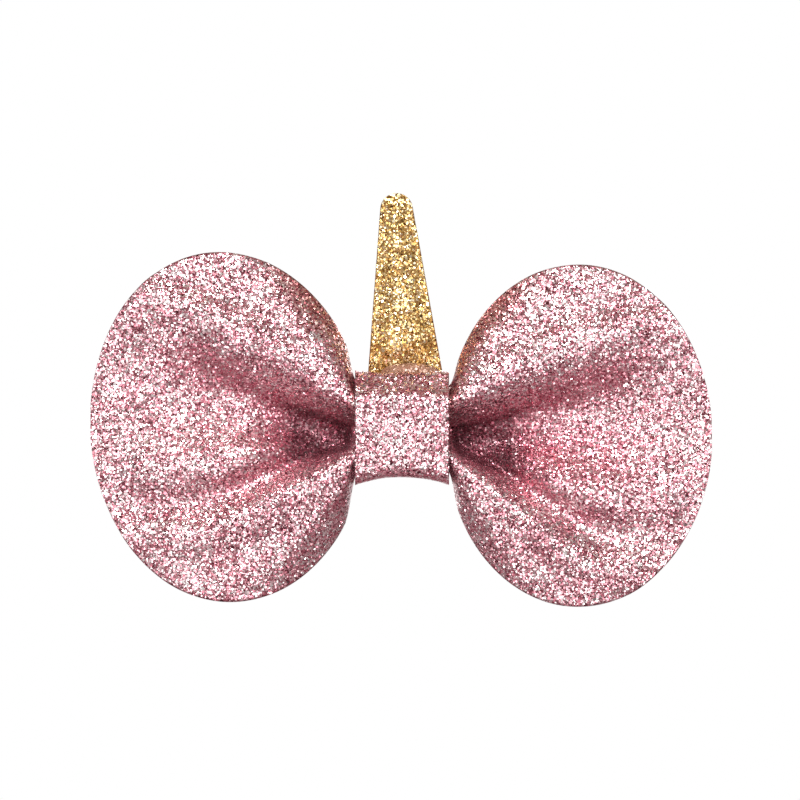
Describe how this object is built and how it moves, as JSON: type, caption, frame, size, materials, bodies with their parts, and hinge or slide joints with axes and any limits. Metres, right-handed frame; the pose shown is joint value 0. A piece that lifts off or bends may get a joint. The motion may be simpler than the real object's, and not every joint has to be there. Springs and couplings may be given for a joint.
{
  "type": "hair bow on alligator clip",
  "caption": "Glitter cloth hair bow with a padded gold horn behind its knot, glued to a sprung toothed hair clip.",
  "frame": {"origin": "middle of the clip's gripping face, behind the knot", "axes": "+X along the bow's width towards the clip's levers, -Y out of the bow's front, +Z the way the horn points"},
  "size_m": [0.1019, 0.0246, 0.0681],
  "materials": {
    "pink_glitter": "dense pink glitter on cloth",
    "pink_backing": "plain woven backing",
    "gold_glitter": "dense gold glitter on cloth",
    "gold_backing": "plain woven backing",
    "polyester_wadding": "soft fill",
    "hot_melt_glue": "cloudy, waxy",
    "pink_thread": "waxed sewing thread",
    "grosgrain_ribbon": "ribbed ribbon",
    "clip_steel": "nickel plated pressed steel",
    "spring_steel": "drawn wire"
  },
  "bodies": {
    "bow": {"bow_sheet": "pink_glitter", "waist_thread": "pink_thread", "center_band": "pink_glitter", "band_seam_glue": "hot_melt_glue", "horn_front": "gold_glitter", "horn_back": "gold_backing", "horn_padding": "polyester_wadding", "horn_root_glue": "hot_melt_glue", "clip_glue_pad": "hot_melt_glue", "clip_ribbon": "grosgrain_ribbon", "clip_upper_jaw": "clip_steel", "clip_hinge_pin": "clip_steel", "clip_spring": "spring_steel"},
    "lower_jaw": {"clip_lower_jaw": "clip_steel"}
  },
  "joints": [
    {"name": "jaw_hinge", "type": "hinge", "parent": "bow", "child": "lower_jaw", "pos_m": [0.0095, 0.0023, 0], "axis": [0, 0, -1], "range_deg": [0, 32], "stiffness_Nm_per_rad": 0.12, "springref_deg": -38.39, "deforming": ["clip_spring"]}
  ]
}
